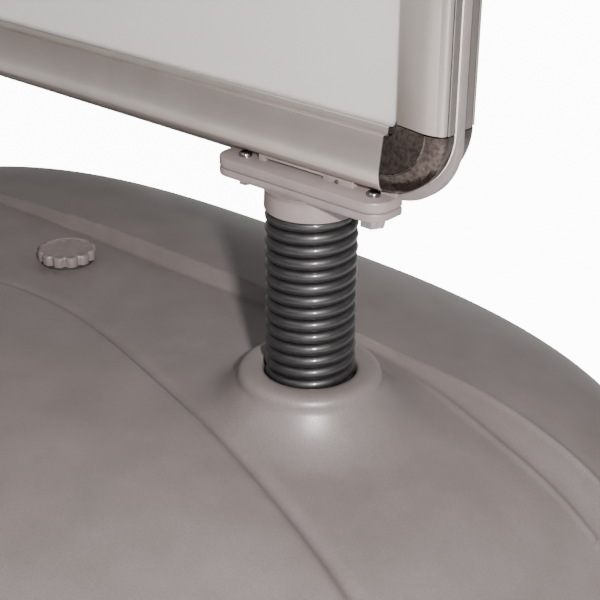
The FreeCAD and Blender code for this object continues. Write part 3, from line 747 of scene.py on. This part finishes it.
def make_clamp(name, side):
    """Lower flange with its collar, and the upper plate with the saddle that holds the hoop."""
    plate_low, plate_high = (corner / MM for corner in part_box(f"clamp_plate_{name}"))
    flange_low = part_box("clamp_nuts_inner")[1].z / MM
    spring_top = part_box(f"spring_{name}")[1].z / MM
    spigot_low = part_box(f"spring_cap_{name}")[0].z / MM
    top = plate_high.z - SADDLE
    axis = (side * BOSS_X, 0)
    collar = turned([(19.4, spigot_low), (19.4, spring_top + 0.2), (27.6, spring_top + 0.2),
                     (28.2, spring_top + 0.6), (28.4, spring_top + 1.4), (28.1, flange_low - 3),
                     (28.5, flange_low - 1), (29.4, flange_low + 0.2), (29.6, flange_low + 0.8),
                     (10, flange_low + 0.8)], 96, axis)
    points, faces = join(collar, plate_slab(side, flange_low, plate_low.z - 0.15, 0.9))
    make_piece(f"spring_cap_{name}_moulded", points, faces, "board", NYLON,
               [f"spring_cap_{name}"])
    hoop = (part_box("edge_hoop")[1].y / MM) + 0.05

    def beside(near, far, y, low_z, high_z):
        ends = sorted((side * (BOSS_X + near), side * (BOSS_X + far)))
        return bar((ends[0], min(y), low_z), (ends[1], max(y), high_z))

    parts = [plate_slab(side, plate_low.z + 0.15, top, 0.9)]
    for row in (-1, 1):
        end = 66.2 if row < 0 else NOTCH - 0.5
        parts.append(beside(-57, end, (row * hoop, row * 7.2), top - 0.5, plate_high.z - 0.1))
        for near, far in ((-31, -26), (18, 40)):
            parts.append(beside(near, far, (row * 7, row * 12.5), top - 0.5, plate_high.z))
        parts.append(beside(-27, 19, (row * 7, row * 12.5), top + 2.1, plate_high.z))
    points, faces = join(*parts)
    make_piece(f"clamp_plate_{name}_moulded", points, faces, "board", NYLON,
               [f"clamp_plate_{name}"])


# ---------------------------------------------------------------- poster frame
# Sections are drawn as (distance in from the frame's outer edge, distance out from the middle).

HINGE, CURL = (3.2, 12.3), 3.0
LIP = [(32, 9.9), (32.3, 9.4), (35.4, 9.0), (36, 8.5), (36, 7.6), (30.7, 7.6), (30.7, 12)]


def flap_section():
    """Snap flap: curl, softly crowned face, and the stepped lip."""
    points = arc_points(HINGE, CURL, 200, 114, 10)
    points += bezier(points[-1], (4.4, 16.05), (9.5, 16.5), 8)
    points += bezier(points[-1], (12.6, 16.75), (18, 15.6), 6)
    points += [(31.4, 13.35), (31.85, 13.1), *LIP, (19, 13.9), (11.4, 15.1), (7.4, 14.6)]
    points += arc_points(HINGE, CURL, 40, -25, 6)
    points += arc_points(HINGE, 1.28, -25, 200, 20)
    return points


def frame_places():
    """For each edge: its node, the way inward and the way along, and where the section starts."""
    low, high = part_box("rail_bottom_front")[0].z / MM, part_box("rail_top_front")[1].z / MM
    left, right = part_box("rail_left_front")[0].x / MM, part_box("rail_right_front")[1].x / MM
    return {"bottom": (Vector((0, 0, low)), Vector((0, 0, 1))),
            "top": (Vector((0, 0, high)), Vector((0, 0, -1))),
            "right": (Vector((right, 0, (low + high) / 2)), Vector((-1, 0, 0))),
            "left": (Vector((left, 0, (low + high) / 2)), Vector((1, 0, 0)))}


def make_flap(edge, face, outward, origin, inward):
    low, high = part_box(f"flap_{edge}_{face}")
    run = inward.cross(outward)
    half = abs((high - low).dot(run)) / 2 / MM
    section = flap_section()
    rings = []
    for reach, inset in ((-half, 0.25), (-half + 0.25, 0), (half - 0.25, 0), (half, 0.25)):
        ring = []
        for u, depth in section:
            shrink = 1 - inset / 30
            point = origin + inward * (u * shrink + inset) + outward * (depth - inset * 0.3) + run * reach
            ring.append(tuple(point))
        rings.append(ring)
    points, faces = skin(rings)
    make_piece(f"flap_{edge}_{face}_anodised", points, faces, f"flap_{edge}_{face}", ANODISED,
               [f"flap_{edge}_{face}"], smooth=24)


CORNER_OUTER = [(0, 4.9), (0, 10), (0.15, 11.4), (0.8, 12.9), (2.2, 14.4), (4.4, 15.3), (7, 15.9),
                (10.6, 16.3), (11.0, 16.6), (11.6, 16.6), (12.0, 16.2), (31.5, 13.3), (32, 13.0)]
CORNER_INNER = [(11.4, 15.2), (7.4, 14.5), (3.4, 13), (2, 11.8), (1.4, 10), (1.4, 4.9)]


def make_corner(level, up, hand, side, face, outward):
    """Plated corner: the flap's section swept round a quarter turn, with a crisp crease."""
    low, high = (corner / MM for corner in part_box(f"corner_{level}_{hand}_{face}"))
    radius = high.x - low.x
    centre = Vector((low.x if side > 0 else high.x, 0, low.z if up > 0 else high.z))
    section = CORNER_OUTER + LIP[1:] + CORNER_INNER
    rings = []
    steps, bevel = 28, 0.7
    turns = [math.pi / 2 * k / steps for k in range(steps + 1)]
    turns[1:1], turns[-1:-1] = [bevel / radius], [math.pi / 2 - bevel / radius]
    for turn in turns:
        out = Vector((side * math.cos(turn), 0, up * math.sin(turn)))
        sunk = bevel if turn in (turns[0], turns[-1]) else 0
        rings.append([tuple(centre + out * (radius - u - (sunk if u < 1 else 0))
                            + outward * (depth - (sunk if depth > 13 else 0))) for u, depth in section])
    points, faces = skin(rings)
    make_piece(f"corner_{level}_{hand}_{face}_plated", points, faces, "board", CHROME,
               [f"corner_{level}_{hand}_{face}"], smooth=20)


def make_hoop():
    """Edge strip round the whole sign, with rounded edges."""
    low, high = (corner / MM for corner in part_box("edge_hoop"))
    frame_low, frame_high = (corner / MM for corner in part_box("core_panel"))
    half_y = (high.y - low.y) / 2

    def outline(inset, y, near, far):
        """The hoop's own outline drawn in by inset, or the sign's outline inside it."""
        half_x, half_z = (far.x - near.x) / 2 - inset, (far.z - near.z) / 2 - inset
        return [((near.x + far.x) / 2 + x, y, (near.z + far.z) / 2 + z)
                for x, z in rounded_rectangle(half_x, half_z, 40 - inset, 28)]

    rings = [outline(-0.02, -half_y, frame_low, frame_high), outline(0.6, -half_y, low, high),
             outline(0.2, -half_y + 0.2, low, high), outline(0, -half_y + 0.8, low, high),
             outline(0, half_y - 0.8, low, high), outline(0.2, half_y - 0.2, low, high),
             outline(0.6, half_y, low, high), outline(-0.02, half_y, frame_low, frame_high)]
    points, faces = skin(rings + rings[:1], caps=False)
    make_piece("edge_hoop_strip", points, faces, "board", VINYL, ["edge_hoop"])


# ---------------------------------------------------------------- stage


def paper_level(tree, light):
    """White paper to look at, which lights the sign no more than light says."""
    seen = add(tree, "ShaderNodeLightPath")
    return add(tree, "ShaderNodeMapRange", links={"Value": (seen, "Is Camera Ray")},
               inputs={"To Min": light, "To Max": 12.0})


def make_stage():
    """Pale floor, soft studio light and the camera."""
    floor_mesh = bpy.data.meshes.new("floor")
    reach = 12
    floor_mesh.from_pydata([(-reach, -reach, 0), (reach, -reach, 0), (reach, reach, 0), (-reach, reach, 0)],
                           [], [(0, 1, 2, 3)])
    floor = bpy.data.objects.new("floor", floor_mesh)
    bpy.context.scene.collection.objects.link(floor)
    floor.location.z = -0.0005
    material, tree, shader = new_material("studio_paper")
    shader.inputs["Base Color"].default_value = linear("#F7F6F5")
    shader.inputs["Roughness"].default_value = 0.9
    shader.inputs["Emission Color"].default_value = linear("#FFFFFF")
    level = paper_level(tree, 0.3)
    tree.links.new(level.outputs["Result"], shader.inputs["Emission Strength"])
    floor_mesh.materials.append(material)

    world = bpy.data.worlds.new("studio")
    bpy.context.scene.world = world
    world.use_nodes = True
    background = world.node_tree.nodes["Background"]
    background.inputs["Color"].default_value = (1.0, 0.985, 0.97, 1)
    level = paper_level(world.node_tree, 0.29)
    world.node_tree.links.new(level.outputs["Result"], background.inputs["Strength"])

    mouth = Vector((BOSS_X * MM, 0, MOUTH_Z * MM))
    azimuth, elevation, roll = math.radians(40.65), math.radians(25.95), math.radians(0.44)
    forward = Vector((-math.sin(azimuth) * math.cos(elevation), math.cos(azimuth) * math.cos(elevation),
                      -math.sin(elevation)))
    right = Vector((math.cos(azimuth), math.sin(azimuth), 0))
    up = right.cross(forward)
    right, up = (right * math.cos(roll) + up * math.sin(roll), up * math.cos(roll) - right * math.sin(roll))
    aim = mouth + Vector((-19.8, 13.0, 33.1)) * MM
    distance = 0.870

    camera_data = bpy.data.cameras.new("camera")
    camera_data.sensor_width = 36
    camera_data.lens = 83.6
    camera_data.clip_start = 0.02
    camera = bpy.data.objects.new("camera", camera_data)
    bpy.context.scene.collection.objects.link(camera)
    turn = Matrix((right, up, -forward)).transposed().to_4x4()
    camera.matrix_world = Matrix.Translation(aim - forward * distance) @ turn
    bpy.context.scene.camera = camera

    lights = (("key", right * 0.11 + up * 0.06 - forward * 0.95, 0.05, 25, (1, 0.96, 0.945)),
              ("fill", right * -1.2 + up * 0.9 - forward * 1.2, 1.2, 6, (1, 0.985, 0.975)),
              ("side", right * 1.6 + up * 0.9 - forward * 0.2, 0.9, 0.9, (1, 0.99, 0.98)),
              ("back", forward * 1.7 + up * 0.5 + right * 0.4, 1.4, 3, (1, 0.99, 0.98)))
    for name, offset, size, power, colour in lights:
        data = bpy.data.lights.new(name, "AREA")
        data.shape, data.size, data.energy, data.color = "DISK", size, power, colour
        light = bpy.data.objects.new(name, data)
        bpy.context.scene.collection.objects.link(light)
        light.location = aim + offset
        light.rotation_euler = (aim - light.location).to_track_quat("-Z", "Y").to_euler()


make_stage()
make_base()
make_filler_cap()
for end in ("front", "rear"):
    make_wheel(f"wheel_{end}")
finish_kept_nodes()
for name, side in (("right", 1), ("left", -1)):
    make_spring(f"spring_{name}")
    make_clamp(name, side)
for face, outward in (("front", Vector((0, -1, 0))), ("rear", Vector((0, 1, 0)))):
    for edge, (origin, inward) in frame_places().items():
        make_flap(edge, face, outward, origin, inward)
    for level, up in (("lower", -1), ("upper", 1)):
        for hand, side in (("left", -1), ("right", 1)):
            make_corner(level, up, hand, side, face, outward)
make_hoop()
